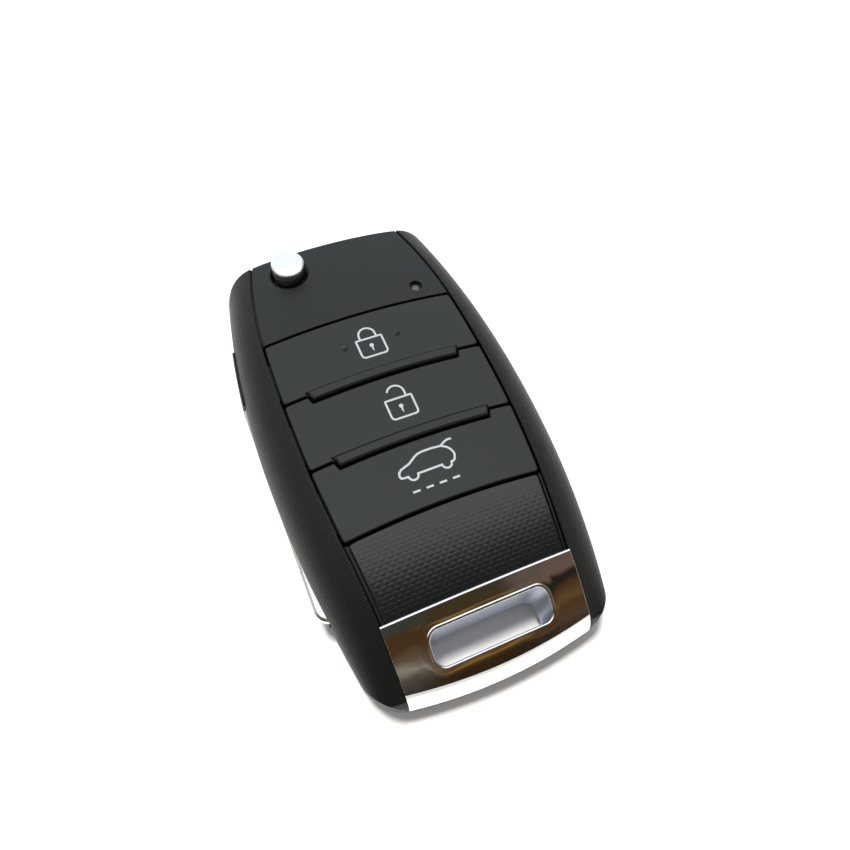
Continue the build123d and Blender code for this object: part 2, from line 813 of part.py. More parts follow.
# Keypad membrane: a rubber tray turned over on the board, with a pad under each stem
with BuildPart() as keypad_membrane:
    with BuildSketch(Plane.XY.offset(board_top)):
        with Locations((0, (tail_seam_y + top_seam_y) / 2)):
            RectangleRounded(membrane_width, top_seam_y - tail_seam_y, 2 * membrane_corner)
    extrude(amount=membrane_top - board_top)
    offset(amount=-membrane_sheet, openings=keypad_membrane.faces().sort_by(Axis.Z)[0])
    with BuildSketch(Plane.XY.offset(membrane_top)):
        with Locations(
            (0, (lock_seam_y + top_seam_y) / 2),
            (0, (unlock_seam_y + lock_seam_y) / 2),
            (0, (tail_seam_y + unlock_seam_y) / 2),
        ):
            RectangleRounded(pad_width, pad_length, membrane_corner)
    extrude(amount=pad_height)
keypad_membrane.part.label = "keypad_membrane"
export_step(keypad_membrane.part, "parts/keypad_membrane.step")

# Circuit board, located on four spigots of the rear shell
with BuildPart() as circuit_board:
    with BuildSketch(Plane.XY.offset(board_base)):
        with Locations(((board_left_x + board_right_x) / 2, room_middle_y)):
            RectangleRounded(board_right_x - board_left_x, board_top_y - board_tail_y, board_corner)
        with Locations(*post_places):
            Circle(spigot_radius + hole_play, mode=Mode.SUBTRACT)
    extrude(amount=board_thickness)
circuit_board.part.label = "circuit_board"
export_step(circuit_board.part, "parts/circuit_board.step")

# Control chip and crystal at the tail end of the board
with BuildPart() as control_chip:
    with Locations((chip_x, board_tail_y + parts_from_end, board_top)):
        Box(chip_size, chip_size, chip_thickness, align=(Align.CENTER, Align.CENTER, Align.MIN))
    chamfer(control_chip.faces().sort_by(Axis.Z)[-1].edges(), chip_thickness / 5)
control_chip.part.label = "control_chip"
export_step(control_chip.part, "parts/control_chip.step")

with BuildPart() as crystal:
    with Locations((crystal_x, board_tail_y + parts_from_end, board_top)):
        Box(crystal_length, crystal_width, crystal_height, align=(Align.CENTER, Align.CENTER, Align.MIN))
    fillet(crystal.edges().filter_by(Axis.Z), crystal_width / 6)
crystal.part.label = "crystal"
export_step(crystal.part, "parts/crystal.step")

# Indicator lamp on the board and the clear lens above it
with BuildPart() as indicator_led:
    with Locations((led_x, led_y, board_top)):
        Box(led_length, led_width, led_height, align=(Align.CENTER, Align.CENTER, Align.MIN))
indicator_led.part.label = "indicator_led"
export_step(indicator_led.part, "parts/indicator_led.step")

with BuildPart() as led_lens:
    lens_foot = board_top + led_height + board_gap / 2
    with BuildSketch(Plane.XY.offset(lens_foot)):
        with Locations((led_x, led_y)):
            Circle(lens_radius)
    extrude(amount=lens_top - lens_foot)
    with BuildSketch(Plane.XY.offset(rim_height - lens_collar)):
        with Locations((led_x, led_y)):
            Circle(lens_collar_radius)
    extrude(amount=lens_collar)
led_lens.part.label = "led_lens"
export_step(led_lens.part, "parts/led_lens.step")

# Coin cell, its wide can down on the positive strip
with BuildPart() as coin_cell:
    cell_base = cell_seat + contact_thickness
    with BuildSketch(Plane.XY.offset(cell_base)):
        with Locations((cell_x, cell_y)):
            Circle(cell_radius)
    extrude(amount=cell_thickness - cell_step_height)
    chamfer(coin_cell.edges(), contact_thickness / 2)
    with BuildSketch(Plane.XY.offset(cell_base)):
        with Locations((cell_x, cell_y)):
            Circle(cell_radius - cell_step)
    extrude(amount=cell_thickness)
coin_cell.part.label = "coin_cell"
export_step(coin_cell.part, "parts/coin_cell.step")

# Positive contact: a strip under the cell that stands up through the notch to the board
with BuildPart() as battery_contact_positive:
    with BuildSketch(Plane.XZ.offset(-cell_y)):
        with BuildLine():
            Polyline(
                (cell_x - cell_radius / 2, cell_seat),
                (leg_x, cell_seat),
                (leg_x, board_base),
                (leg_x - contact_thickness, board_base),
                (leg_x - contact_thickness, cell_base),
                (cell_x - cell_radius / 2, cell_base),
                close=True,
            )
        make_face()
    extrude(amount=contact_width / 2, both=True)
battery_contact_positive.part.label = "battery_contact_positive"
export_step(battery_contact_positive.part, "parts/battery_contact_positive.step")

# Negative contact: a leaf under the board that bends down onto the top of the cell
with BuildPart() as battery_contact_negative:
    cell_top = cell_base + cell_thickness
    foot_x = cell_x - cell_radius / 2
    with BuildSketch(Plane.XZ.offset(-cell_y)):
        with BuildLine():
            Polyline(
                (foot_x, board_base),
                (foot_x + contact_foot, board_base),
                (foot_x + contact_foot + contact_reach, cell_top + contact_thickness),
                (foot_x + 2 * contact_foot + contact_reach, cell_top + contact_thickness),
                (foot_x + 2 * contact_foot + contact_reach, cell_top),
                (foot_x + contact_foot + contact_reach, cell_top),
                (foot_x + contact_foot, board_base - contact_thickness),
                (foot_x, board_base - contact_thickness),
                close=True,
            )
        make_face()
    extrude(amount=contact_width / 2, both=True)
battery_contact_negative.part.label = "battery_contact_negative"
export_step(battery_contact_negative.part, "parts/battery_contact_negative.step")

# Transponder, laid in its frame on the floor
with BuildPart() as transponder_chip:
    with Locations((transponder_x, transponder_y, transponder_seat)):
        Box(
            transponder_length,
            transponder_width,
            transponder_thickness,
            align=(Align.CENTER, Align.CENTER, Align.MIN),
        )
    chamfer(transponder_chip.faces().sort_by(Axis.Z)[-1].edges(), cell_step_height)
transponder_chip.part.label = "transponder_chip"
export_step(transponder_chip.part, "parts/transponder_chip.step")

# Flip head: the hub, the arm across the top corner and the neck that holds the blade
with BuildPart() as head_neck:
    with BuildSketch(Plane.XY.offset(arm_base)):
        with Locations((neck_inner_x, neck_end_y)):
            Rectangle(far, pivot_y - neck_end_y, align=(Align.MAX, Align.MIN))
    extrude(amount=arm_thickness)
    with BuildSketch(Plane.XY.offset(arm_base)):
        with Locations((neck_inner_x, pivot_y - neck_start_from_pivot)):
            Rectangle(far, far, align=(Align.MAX, Align.MIN))
    extrude(amount=arm_thickness, mode=Mode.SUBTRACT)
    add(proud_form, mode=Mode.INTERSECT)
    fillet(head_neck.edges().group_by(Axis.X)[0], neck_edge)
with BuildPart() as flip_head:
    with BuildSketch(Plane.XY.offset(arm_base)):
        with Locations((pivot_x, pivot_y - arm_below_pivot)):
            Rectangle(far, arm_below_pivot + arm_above_pivot, align=(Align.MAX, Align.MIN))
        with Locations((neck_inner_x, pivot_y - neck_start_from_pivot)):
            Rectangle(far, neck_start_from_pivot, align=(Align.MAX, Align.MIN))
    extrude(amount=arm_thickness)
    add(case_form.part, mode=Mode.INTERSECT)
    add(head_neck.part)
    with BuildSketch(Plane.XY.offset(hub_base)):
        with Locations((pivot_x, pivot_y)):
            Circle(hub_radius)
    extrude(amount=arm_top - hub_base)
    with BuildSketch(Plane.XY.offset(hub_base)):
        with Locations((pivot_x, pivot_y)):
            Circle(journal_radius)
    extrude(amount=hub_height)
    with BuildSketch(Plane.XY.offset(hub_base)):
        with Locations((pivot_x, pivot_y)):
            Circle(spring_bore_radius)
    extrude(amount=hub_height - hub_web, mode=Mode.SUBTRACT)
    with BuildSketch(Plane.XY.offset(hub_base)):
        with Locations((pivot_x, pivot_y)):
            Circle(release_shank_radius + running_fit)
    extrude(amount=hub_height, mode=Mode.SUBTRACT)
    with Locations((blade_centre_x, neck_end_y, blade_middle)):
        Box(
            tang_width + 2 * tang_play,
            2 * (tang_length + tang_play),
            blade_thickness + 2 * tang_play,
            mode=Mode.SUBTRACT,
        )
    with BuildSketch(Plane.XY.offset(arm_base)):
        with Locations((blade_centre_x, neck_end_y + pin_from_neck_end)):
            Circle(pin_radius)
    extrude(amount=arm_thickness, mode=Mode.SUBTRACT)
flip_head.part.label = "flip_head"
export_step(flip_head.part, "parts/flip_head.step")

# Blade: a flat bar with a milled groove on each face and a tang into the neck
with BuildPart() as blade:
    with BuildSketch(Plane.XY.offset(blade_middle - blade_thickness / 2)) as blade_plan:
        with Locations((blade_centre_x, blade_tip_y)):
            Rectangle(blade_width, neck_end_y - blade_tip_y, align=(Align.CENTER, Align.MIN))
        fillet(blade_plan.vertices().group_by(Axis.Y)[0], blade_tip_radius)
    extrude(amount=blade_thickness)
    chamfer(
        blade.faces().sort_by(Axis.Z)[0].edges().sort_by(Axis.Y)[:-1]
        + blade.faces().sort_by(Axis.Z)[-1].edges().sort_by(Axis.Y)[:-1],
        blade_bevel,
    )
    groove_length = neck_end_y - blade_tip_y - blade_width
    for height in (blade_middle - blade_thickness / 2, blade_middle + blade_thickness / 2):
        with BuildSketch(Plane.XY.offset(height)):
            with Locations((blade_centre_x, neck_end_y)):
                Rectangle(blade_groove_width, groove_length, align=(Align.CENTER, Align.MAX))
            with Locations((blade_centre_x, neck_end_y - groove_length)):
                Circle(blade_groove_width / 2)
        extrude(amount=blade_groove_depth, both=True, mode=Mode.SUBTRACT)
    with Locations((blade_centre_x, neck_end_y, blade_middle)):
        Box(tang_width, tang_length, blade_thickness, align=(Align.CENTER, Align.MIN, Align.CENTER))
    with Locations((blade_centre_x, neck_end_y + pin_from_neck_end, blade_middle)):
        Cylinder(pin_radius, blade_thickness, mode=Mode.SUBTRACT)
blade.part.label = "blade"
export_step(blade.part, "parts/blade.step")

# The pin that holds the blade in the neck
with BuildPart() as blade_pin:
    with Locations((blade_centre_x, neck_end_y + pin_from_neck_end, blade_middle)):
        Cylinder(pin_radius, arm_thickness)
blade_pin.part.label = "blade_pin"
export_step(blade_pin.part, "parts/blade_pin.step")

# Release button: a domed cap on a shank, caught under the hub's web by its collar
with BuildPart() as release_button:
    web_base = hub_base + hub_height - hub_web
    cap_top = front_surface_at(pivot_x, pivot_y) + release_proud
    dome_radius = (release_radius**2 + release_dome**2) / (2 * release_dome)
    with BuildSketch(Plane.XZ.offset(-pivot_y)):
        with BuildLine():
            Polyline(
                (pivot_x, cap_top + release_dome),
                (pivot_x, web_base - hub_play - release_collar),
                (pivot_x + release_collar_radius, web_base - hub_play - release_collar),
                (pivot_x + release_collar_radius, web_base - hub_play),
                (pivot_x + release_shank_radius, web_base - hub_play),
                (pivot_x + release_shank_radius, cap_top - release_skirt),
                (pivot_x + release_radius, cap_top - release_skirt),
                (pivot_x + release_radius, cap_top),
            )
            RadiusArc((pivot_x + release_radius, cap_top), (pivot_x, cap_top + release_dome), -dome_radius)
        make_face()
    revolve(axis=Axis((pivot_x, pivot_y, 0), (0, 0, 1)))
release_button.part.label = "release_button"
export_step(release_button.part, "parts/release_button.step")

# Flip spring: a coil round the arbor, between the case's floor and the hub's web
with BuildPart() as flip_spring:
    coil_base = hub_base - hub_play + spring_wire / 2
    coil_height = web_base - hub_play - spring_wire / 2 - coil_base
    with BuildLine(Plane(origin=(pivot_x, pivot_y, coil_base))) as coil:
        Helix(coil_height / spring_turns, coil_height, spring_radius)
    with BuildSketch(Plane(origin=coil.line @ 0, z_dir=coil.line % 0)):
        Circle(spring_wire / 2)
    sweep()
flip_spring.part.label = "flip_spring"
export_step(flip_spring.part, "parts/flip_spring.step")
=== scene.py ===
import bmesh
import bpy
import math
from mathutils import Euler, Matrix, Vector
from mathutils.bvhtree import BVHTree


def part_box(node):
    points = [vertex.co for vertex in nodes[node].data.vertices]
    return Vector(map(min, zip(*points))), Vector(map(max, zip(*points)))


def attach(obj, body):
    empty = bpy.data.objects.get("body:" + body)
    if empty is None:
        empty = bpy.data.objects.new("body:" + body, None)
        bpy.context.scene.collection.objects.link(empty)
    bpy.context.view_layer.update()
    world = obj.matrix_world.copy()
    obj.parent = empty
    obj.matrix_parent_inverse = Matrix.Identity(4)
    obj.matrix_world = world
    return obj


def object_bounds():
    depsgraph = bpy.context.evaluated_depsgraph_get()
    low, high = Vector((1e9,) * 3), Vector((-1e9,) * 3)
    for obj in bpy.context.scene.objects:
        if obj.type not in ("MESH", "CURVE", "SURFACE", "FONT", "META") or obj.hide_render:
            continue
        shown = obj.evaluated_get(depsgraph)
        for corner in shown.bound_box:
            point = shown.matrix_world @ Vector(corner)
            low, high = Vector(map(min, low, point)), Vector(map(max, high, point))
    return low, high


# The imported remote, as it lies on its back. Sizes are given in millimetres and turned into
# metres, and every place is in the remote's own frame.
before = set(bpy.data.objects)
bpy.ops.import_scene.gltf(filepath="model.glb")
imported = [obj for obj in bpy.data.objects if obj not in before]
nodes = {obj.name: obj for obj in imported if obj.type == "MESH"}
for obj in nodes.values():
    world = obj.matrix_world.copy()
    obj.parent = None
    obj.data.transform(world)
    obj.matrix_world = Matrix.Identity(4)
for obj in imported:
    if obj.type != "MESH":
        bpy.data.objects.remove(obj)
cad_box = [list(corner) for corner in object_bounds()]
mm = 0.001


# Rear shell: the back of the case, one injection moulding in black plastic, closed against the
# front one. Its tool is cut with a fine diamond grain that wraps round the grips, and hands
# have polished the plastic in soft patches.
grip_black = (0.0046, 0.0047, 0.0041)
grip_gloss = 0.28
grip_satin = (0.36, 0.46)
grip_pitch = 0.66 * mm
grip_slant = 0.62
grip_depth = 0.045 * mm
spark_size = 0.09 * mm
spark_depth = 0.005 * mm
handled_size = 9 * mm
moulded_edge = 0.12 * mm
edge_samples = 6


def put(tree, socket, value):
    """Gives a socket a number, a colour or another node's output."""
    if isinstance(value, bpy.types.NodeSocket):
        tree.links.new(value, socket)
    else:
        socket.default_value = value


def add_node(tree, kind, settings=None, **inputs):
    """One shader node. Its inputs are given by socket name, with _ for a space."""
    made = tree.nodes.new("ShaderNode" + kind)
    for key, value in (settings or {}).items():
        setattr(made, key, value)
    for name, value in inputs.items():
        put(tree, made.inputs[name.replace("_", " ")], value)
    return made


def calc(tree, operation, *values):
    """The output of a math node fed with numbers or other outputs."""
    made = add_node(tree, "Math", {"operation": operation})
    for socket, value in zip(made.inputs, values):
        put(tree, socket, value)
    return made.outputs[0]


def between(tree, share, low, high):
    """A number that goes from low to high with share."""
    return add_node(tree, "MapRange", Value=share, To_Min=low, To_Max=high).outputs[0]


def place_on(tree):
    """The place on the piece, in metres."""
    return add_node(tree, "TexCoord").outputs["Object"]


def numbers_of(tree, place):
    """A place's three numbers."""
    return tuple(add_node(tree, "SeparateXYZ", Vector=place).outputs)


def cloud(tree, where, size, detail=2.0):
    """Soft noise with blots of about the given size."""
    return add_node(tree, "TexNoise", Vector=where, Scale=1 / size, Detail=detail).outputs[0]


def soften_edges(tree, radius):
    """A normal that rounds sharp edges by the given radius."""
    return add_node(tree, "Bevel", {"samples": edge_samples}, Radius=radius).outputs[0]


def emboss(tree, height, depth, normal):
    """A normal that follows height, with its highest point depth above its lowest."""
    made = add_node(tree, "Bump", Height=height, Distance=depth, Strength=1.0, Normal=normal)
    return made.outputs[0]


def spark_surface(tree, where, edge=moulded_edge):
    """A normal with the tool's fine spark marks and rounded edges."""
    return emboss(tree, cloud(tree, where, spark_size), spark_depth, soften_edges(tree, edge))


def handled(tree, where, satin):
    """Roughness that hands have changed in soft patches."""
    return between(tree, cloud(tree, where, handled_size), *satin)


def zigzag(tree, value):
    """A wave with straight sides, from 0 to 1 and back over each whole number."""
    return calc(tree, "MULTIPLY", calc(tree, "PINGPONG", value, 0.5), 2.0)


def diamond_grain(tree, x, y, z):
    """Height of the cut grain: low pyramids in rows that follow the grips round."""
    round_grip = calc(tree, "SUBTRACT", calc(tree, "ABSOLUTE", x), z)
    across = calc(tree, "DIVIDE", round_grip, grip_pitch)
    along = calc(tree, "DIVIDE", calc(tree, "MULTIPLY", y, grip_slant), grip_pitch)
    one = zigzag(tree, calc(tree, "ADD", across, along))
    other = zigzag(tree, calc(tree, "SUBTRACT", across, along))
    return calc(tree, "MINIMUM", one, other)


def start_finish(name, colour, roughness, gloss=0.5, metallic=0.0):
    """A new material, its node tree and its main shader."""
    finish = bpy.data.materials.new(name)
    finish.use_nodes = True
    shader = finish.node_tree.nodes["Principled BSDF"]
    shader.inputs["Base Color"].default_value = (*colour, 1)
    shader.inputs["Roughness"].default_value = roughness
    shader.inputs["Specular IOR Level"].default_value = gloss
    shader.inputs["Metallic"].default_value = metallic
    return finish, finish.node_tree, shader


def feed(tree, shader, **outputs):
    """Links nodes' outputs to the shader, by socket name, with _ for a space."""
    for name, output in outputs.items():
        tree.links.new(output, shader.inputs[name.replace("_", " ")])


def dress(node, finish):
    """Gives a carried-over piece its one finish."""
    nodes[node].data.materials.clear()
    nodes[node].data.materials.append(finish)


grip_plastic, tree, shader = start_finish("grip_plastic", grip_black, grip_satin[0], grip_gloss)
where = place_on(tree)
x, y, z = numbers_of(tree, where)
grained = emboss(tree, diamond_grain(tree, x, y, z), grip_depth, spark_surface(tree, where))
feed(tree, shader, Normal=grained, Roughness=handled(tree, where, grip_satin))
dress("rear_shell", grip_plastic)


# Front shell: the top panel and both grips, in one moulding of the same black plastic. The panel
# between the two fine creases has a plain spark-eroded surface in charcoal, and the grips carry the
# diamond grain. Each crease's band keeps the grips' black, as painted shade in the creases.
panel_charcoal = (0.0118, 0.013, 0.0136)
panel_gloss = 0.38
panel_satin = (0.32, 0.38)
panel_half_width = 17.6 * mm
panel_widest_y = 4.0 * mm
panel_top_taper = 3.9 * mm
panel_top_power = 3.0
panel_tail_taper = 2.6 * mm
crease_width = 0.4 * mm
charcoal_foot = 9.5 * mm
charcoal_full = 12.0 * mm
tail_end_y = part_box("front_shell")[0].y
top_end_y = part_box("front_shell")[1].y


def mix_colours(tree, share, first, second):
    """A colour that goes from first to second with share."""
    mixed = add_node(tree, "Mix", {"data_type": "RGBA"})
    put(tree, mixed.inputs[0], share)
    for socket, colour in ((mixed.inputs[6], first), (mixed.inputs[7], second)):
        put(tree, socket, (*colour, 1) if isinstance(colour, tuple) else colour)
    return mixed.outputs[2]


def soft_step(tree, value, low, high):
    """0 at low and 1 at high, level past them, with a smooth rise between."""
    smooth = {"interpolation_type": "SMOOTHSTEP"}
    return add_node(tree, "MapRange", smooth, Value=value, From_Min=low, From_Max=high).outputs[0]


def inside_panel(tree, x, y):
    """How far a place is inside the panel's side, in metres, and less than 0 on the grips."""
    above = calc(tree, "SUBTRACT", y, panel_widest_y)
    share = calc(tree, "MAXIMUM", calc(tree, "DIVIDE", above, top_end_y - panel_widest_y), 0.0)
    top_taper = calc(tree, "MULTIPLY", calc(tree, "POWER", share, panel_top_power), panel_top_taper)
    below = calc(tree, "SUBTRACT", panel_widest_y, y)
    share = calc(tree, "MAXIMUM", calc(tree, "DIVIDE", below, panel_widest_y - tail_end_y), 0.0)
    swing = calc(tree, "COSINE", calc(tree, "MULTIPLY", share, math.pi))
    tail_taper = calc(tree, "MULTIPLY", calc(tree, "SUBTRACT", 1.0, swing), panel_tail_taper / 2)
    half = calc(tree, "SUBTRACT", calc(tree, "SUBTRACT", panel_half_width, top_taper), tail_taper)
    return calc(tree, "SUBTRACT", half, calc(tree, "ABSOLUTE", x))


front_plastic, tree, shader = start_finish("front_plastic", grip_black, grip_satin[0], grip_gloss)
where = place_on(tree)
x, y, z = numbers_of(tree, where)
inside = inside_panel(tree, x, y)
# Painted shade: the band of crease_width inside each crease stays grip black, darker than the
# charcoal.
on_panel = calc(tree, "GREATER_THAN", inside, crease_width)
on_grip = calc(tree, "LESS_THAN", inside, 0.0)
charcoal_share = calc(tree, "MULTIPLY", on_panel, soft_step(tree, z, charcoal_foot, charcoal_full))
grain = calc(tree, "MULTIPLY", diamond_grain(tree, x, y, z), on_grip)
feed(
    tree, shader,
    Base_Color=mix_colours(tree, charcoal_share, grip_black, panel_charcoal),
    Normal=emboss(tree, grain, grip_depth, spark_surface(tree, where)),
    Roughness=handled(tree, where, grip_satin),
)
dress("front_shell", front_plastic)


# Lower panel: a thin moulded cover below the buttons, in the same charcoal plastic, coloured at about
# half the buttons' charcoal as painted shade, with rows of low six-sided scales standing on it. It is
# snapped into its pocket between two thin ribs.
# Painted shade: the buttons' charcoal plastic, made about half as bright for the lower panel.
charcoal_darkened_as_shade = (0.0055, 0.0062, 0.0064)
scaled_gloss = 0.54
scaled_satin = (0.2, 0.25)
scale_edge = 0.004 * mm
scale_sides = 6
scale_width = 1.25 * mm
scale_row = 0.65 * mm
scale_reach = scale_width / math.sqrt(3)
scale_squash = scale_row / (1.5 * scale_reach)
scale_rings = ((0.99, -0.005 * mm), (0.8, 0.005 * mm), (0.5, 0.011 * mm))
scale_crown = 0.014 * mm
scale_margin = 0.08 * mm
scale_trim = 0.06
least_kept = 0.1
steepest_face = 0.8
well_above = 50 * mm


def charcoal(name, colour, gloss, satin, edge=moulded_edge):
    """The plain spark-eroded charcoal of the panels and buttons."""
    finish, tree, shader = start_finish(name, colour, satin[0], gloss)
    where = place_on(tree)
    feed(tree, shader, Normal=spark_surface(tree, where, edge), Roughness=handled(tree, where, satin))
    return finish


def surface_of(node):
    """What points are dropped onto, to find the height of a piece."""
    return BVHTree.FromObject(nodes[node], bpy.context.evaluated_depsgraph_get())


def drop(surface, x, y):
    """The point of a surface straight below a place, and the way it faces."""
    point, facing, _, _ = surface.ray_cast(Vector((x, y, well_above)), Vector((0, 0, -1)))
    return point, facing


def on_face(surface, x, y):
    """Whether a place lies on the panel's face, clear of its edge."""
    for step_x, step_y in ((0, 0), (1, 0), (-1, 0), (0, 1), (0, -1)):
        point, facing = drop(surface, x + step_x * scale_margin, y + step_y * scale_margin)
        if point is None or facing.z < steepest_face:
            return False
    return True


def join_rings(mesh, one, two):
    """Closes the band between two rings of points."""
    count = len(one)
    for k in range(count):
        mesh.faces.new((one[k], one[(k + 1) % count], two[(k + 1) % count], two[k]))


def add_scale(mesh, surface, cx, cy):
    """One low six-sided scale, cut off where it would pass the edge of the panel's face."""
    if not on_face(surface, cx, cy):
        return
    rings = []
    for share, lift in scale_rings:
        ring = []
        for corner in range(scale_sides):
            turn = math.radians((corner + 0.5) * 360 / scale_sides)
            dx = math.cos(turn) * scale_reach * share
            dy = math.sin(turn) * scale_reach * share * scale_squash
            kept = 1.0
            while kept > least_kept and not on_face(surface, cx + dx * kept, cy + dy * kept):
                kept -= scale_trim
            px, py = cx + dx * kept, cy + dy * kept
            ring.append(mesh.verts.new((px, py, drop(surface, px, py)[0].z + lift)))
        rings.append(ring)
    crown = mesh.verts.new((cx, cy, drop(surface, cx, cy)[0].z + scale_crown))
    for low, high in zip(rings, rings[1:]):
        join_rings(mesh, low, high)
    for k in range(scale_sides):
        mesh.faces.new((rings[-1][k], rings[-1][(k + 1) % scale_sides], crown))
    mesh.faces.new(rings[0])


def keep_mesh(name, mesh, finish):
    """Turns a bmesh into a piece with one finish."""
    bmesh.ops.recalc_face_normals(mesh, faces=mesh.faces)
    data = bpy.data.meshes.new(name)
    mesh.to_mesh(data)
    mesh.free()
    data.materials.append(finish)
    made = bpy.data.objects.new(name, data)
    bpy.context.scene.collection.objects.link(made)
    return made


# The panel and its scales both take the charcoal darkened as painted shade.
panel_plastic = charcoal("panel_plastic", charcoal_darkened_as_shade, scaled_gloss, scaled_satin)
scale_plastic = charcoal("scale_plastic", charcoal_darkened_as_shade, scaled_gloss, scaled_satin, scale_edge)
dress("lower_panel", panel_plastic)

panel_low, panel_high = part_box("lower_panel")
panel_face = surface_of("lower_panel")
columns = int(panel_high.x / scale_width) + 2
rows = int((panel_high.y - panel_low.y) / scale_row) + 1
scales = bmesh.new()
for row in range(rows):
    for column in range(-columns, columns + 1):
        scale_x = (column + 0.5 * (row % 2)) * scale_width
        add_scale(scales, panel_face, scale_x, panel_low.y + row * scale_row)
panel_scales = keep_mesh("panel_scales", scales, scale_plastic)
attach(panel_scales, "case")


# Key-ring loop: a zinc casting, polished and plated bright, seated between the ends of the grips. Its
# face swells softly round the slot, up to a thin lip, and the slot's wall is satin, with a bluish
# tint painted on as cool shade. The plating is nearly a mirror, with faint rubbing marks from the
# ring.
plating_grey = (0.86, 0.86, 0.85)
plating_satin = (0.02, 0.08)
rubbed_size = 1.2 * mm
rubbed_stretch = (1.0, 6.0, 6.0)
cast_size = 6 * mm
cast_depth = 0.06 * mm
loop_edge = 0.06 * mm
lip_edge = 0.15 * mm
lip_line = 0.46 * mm
lip_end = 0.56 * mm
mound_start = 1.0 * mm
mound_end = 2.1 * mm
mound_height = 0.02 * mm
slot_half_x = 9.6 * mm
slot_half_y = 2.45 * mm
slot_corner = 1.6 * mm
slot_from_tail = 7.1 * mm
slot_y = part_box("keyring_loop")[0].y + slot_from_tail
# Painted shade: a cool blue tint for the plating inside the slot.
slot_shade_blue = (0.7, 0.75, 0.86)
sleeve_satin = 0.34
sleeve_end = 0.04 * mm
face_lean_by_x = 6.4
face_tilt = -0.407
face_tilt_by_y = 18.5
face_rise = 0.914


def start_plating(name):
    """New polished plating, with its faint rubbed marks and the slight waves of the casting."""
    finish, tree, shader = start_finish(name, plating_grey, plating_satin[0], metallic=1.0)
    where = place_on(tree)
    stretched = add_node(tree, "Mapping", Vector=where, Scale=rubbed_stretch).outputs[0]
    rubbed = cloud(tree, stretched, rubbed_size, detail=5.0)
    satin = between(tree, rubbed, *plating_satin)
    waves = cloud(tree, where, cast_size, detail=1.0)
    return finish, tree, shader, satin, waves


def distance(tree, off_x, off_y):
    """How far a place is from a point that it lies off_x and off_y away from."""
    squares = [calc(tree, "MULTIPLY", off, off) for off in (off_x, off_y)]
    return calc(tree, "SQRT", calc(tree, "ADD", *squares))


def beyond_slot(tree, x, y):
    """How far a place is outside the slot's outline, and less than 0 inside it."""
    past = []
    for place, half in ((x, slot_half_x), (calc(tree, "SUBTRACT", y, slot_y), slot_half_y)):
        out = calc(tree, "SUBTRACT", calc(tree, "ABSOLUTE", place), half - slot_corner)
        past.append(calc(tree, "MAXIMUM", out, 0.0))
    return calc(tree, "SUBTRACT", distance(tree, *past), slot_corner)


loop_plating, tree, shader, satin, waves = start_plating("loop_plating")
x, y, _ = numbers_of(tree, place_on(tree))
beyond = beyond_slot(tree, x, y)
in_slot = calc(tree, "LESS_THAN", beyond, sleeve_end)
lean = calc(tree, "MULTIPLY", x, face_lean_by_x)
tilt = calc(tree, "MULTIPLY", calc(tree, "SUBTRACT", y, slot_y), face_tilt_by_y)
tilt = calc(tree, "ADD", tilt, face_tilt)
face_way = add_node(tree, "CombineXYZ", X=lean, Y=tilt, Z=face_rise).outputs[0]
edge = between(tree, soft_step(tree, beyond, lip_end, mound_start), lip_edge, loop_edge)
past_lip = soft_step(tree, beyond, lip_line, lip_end)
mound = soft_step(tree, beyond, mound_end, mound_start)
rounded = add_node(tree, "Mix", {"data_type": "VECTOR"})
put(tree, rounded.inputs[0], calc(tree, "MULTIPLY", past_lip, mound))
put(tree, rounded.inputs[4], soften_edges(tree, edge))
put(tree, rounded.inputs[5], face_way)
risen = emboss(tree, mound, mound_height, rounded.outputs[1])
feed(
    tree, shader,
    # The slot's wall takes the painted bluish shade in place of the plating's grey.
    Base_Color=mix_colours(tree, in_slot, plating_grey, slot_shade_blue),
    Normal=emboss(tree, waves, cast_depth, risen),
    Roughness=calc(tree, "MAXIMUM", satin, calc(tree, "MULTIPLY", in_slot, sleeve_satin)),
)
dress("keyring_loop", loop_plating)


# Release button: a turned steel cap on its shank, polished and plated like the loop. It comes
# up through the hub of the flip head, and pressing it lets the blade spring out.
cap_edge = 0.6 * mm
cap_plating, tree, shader, satin, waves = start_plating("cap_plating")
cap_way = emboss(tree, waves, cast_depth, soften_edges(tree, cap_edge))
feed(tree, shader, Normal=cap_way, Roughness=satin)
dress("release_button", cap_plating)


# Flip head: the black arm that carries the blade, a painted metal casting. It turns on its hub
# inside the case, and is grained like the grips where it shows in the left side.
dress("flip_head", grip_plastic)


# Blade, its pin and the flip spring, with the cell, its contacts and the crystal's can: plated
# steel, ground along its length. The pin holds the blade's tang in the flip head.
steel_grey = (0.8, 0.79, 0.76)
steel_satin = (0.16, 0.3)
ground_size = 0.08 * mm
ground_depth = 0.004 * mm
ground_stretch = (1.0, 0.04, 1.0)
steel_edge = 0.1 * mm
blade_steel, tree, shader = start_finish("blade_steel", steel_grey, steel_satin[0], metallic=1.0)
where = place_on(tree)
drawn = add_node(tree, "Mapping", Vector=where, Scale=ground_stretch).outputs[0]
lines = cloud(tree, drawn, ground_size, detail=3.0)
ground = emboss(tree, lines, ground_depth, soften_edges(tree, steel_edge))
feed(tree, shader, Normal=ground, Roughness=between(tree, lines, *steel_satin))
for node in ("blade", "blade_pin"):
    dress(node, blade_steel)
for node in (
    "flip_spring", "coin_cell", "battery_contact_positive", "battery_contact_negative", "crystal",
):
    dress(node, blade_steel)


